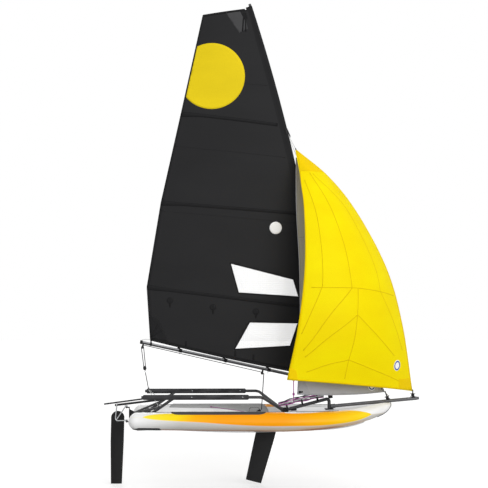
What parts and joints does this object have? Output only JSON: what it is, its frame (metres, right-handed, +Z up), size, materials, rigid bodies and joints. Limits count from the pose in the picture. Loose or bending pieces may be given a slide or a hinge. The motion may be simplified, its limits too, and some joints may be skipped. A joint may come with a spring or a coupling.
{
  "type": "inflatable sailing dinghy with hiking racks",
  "caption": "Two-tube inflatable sailing dinghy with hiking racks, bent sleeve-sail mast, jib, gennaker on a bowsprit, sliding daggerboard and kick-up rudder.",
  "frame": {"origin": "on the waterline, on the centreline, amidships", "axes": "+X forward to the bow, +Y to port, +Z up"},
  "size_m": [4.3812, 1.8022, 6.6981],
  "materials": {
    "white_fabric": "coated, satin",
    "deck_grip": "textured",
    "black_rubber": "matte",
    "black_plastic": "matte",
    "black_tube": "anodised, satin",
    "bare_aluminium": "satin",
    "blade_black": "matte",
    "charcoal_sail": "sailcloth",
    "grey_sail": "sailcloth",
    "rope": "braided",
    "yellow_sail": "sailcloth"
  },
  "bodies": {
    "hull": {"side_tube_port": "white_fabric", "side_tube_starboard": "white_fabric", "hull_floor": "white_fabric", "foredeck": "white_fabric", "deck_pad_port": "deck_grip", "deck_pad_starboard": "deck_grip", "skid_strip_port": "black_rubber", "skid_strip_starboard": "black_rubber", "daggerboard_case": "black_plastic", "rack_rail_port": "black_tube", "rack_rail_starboard": "black_tube", "rack_brace_port": "black_tube", "rack_brace_starboard": "black_tube", "rack_leg_port": "black_tube", "rack_leg_starboard": "black_tube", "grip_sleeve_port": "black_rubber", "grip_sleeve_starboard": "black_rubber", "stern_strut_port": "black_tube", "stern_strut_starboard": "black_tube", "sheet_base": "black_plastic", "side_line": "rope", "front_node": "black_plastic", "stern_bracket": "black_plastic", "mast_strut": "black_tube", "mast_post": "black_tube", "mast_step": "black_plastic", "step_plate": "black_plastic", "bowsprit": "black_tube", "jib_furler": "black_plastic", "gennaker_furler": "black_plastic", "jib": "grey_sail", "gennaker": "yellow_sail"},
    "rig": {"mast_foot": "black_plastic", "mast_lower": "black_tube", "mast_upper": "black_tube", "luff_sleeve": "charcoal_sail", "hounds": "black_plastic", "mainsail": "charcoal_sail", "boom": "black_tube", "gooseneck": "black_plastic", "boom_end": "black_plastic", "block_aft": "black_plastic", "block_forward": "black_plastic", "boom_sheet": "rope"},
    "rudder": {"rudder_stock": "bare_aluminium", "tiller": "black_tube", "tiller_joint": "black_plastic"},
    "blade": {"rudder_blade": "blade_black"},
    "extension": {"tiller_extension": "black_tube"},
    "board": {"daggerboard": "blade_black"}
  },
  "joints": [
    {"name": "boom_swing", "type": "hinge", "parent": "hull", "child": "rig", "pos_m": [0.996, 0, 0.439], "axis": [-0.1632, 0, 0.9866], "range_deg": [-80, 45]},
    {"name": "rudder_steer", "type": "hinge", "parent": "hull", "child": "rudder", "pos_m": [-1.828, 0, 0.3], "axis": [0, 0, 1], "range_deg": [-38, 38]},
    {"name": "rudder_kick_up", "type": "hinge", "parent": "rudder", "child": "blade", "pos_m": [-1.951, 0, 0.134], "axis": [0, 1, 0], "range_deg": [0, 100]},
    {"name": "tiller_extension_swing", "type": "hinge", "parent": "rudder", "child": "extension", "pos_m": [-1.228, 0, 0.44077], "axis": [-0.5, 0, 0.866], "range_deg": [-100, 100]},
    {"name": "daggerboard_lift", "type": "slide", "parent": "hull", "child": "board", "axis": [0.2521, 0, 0.9677], "range_m": [0, 0.48]}
  ]
}
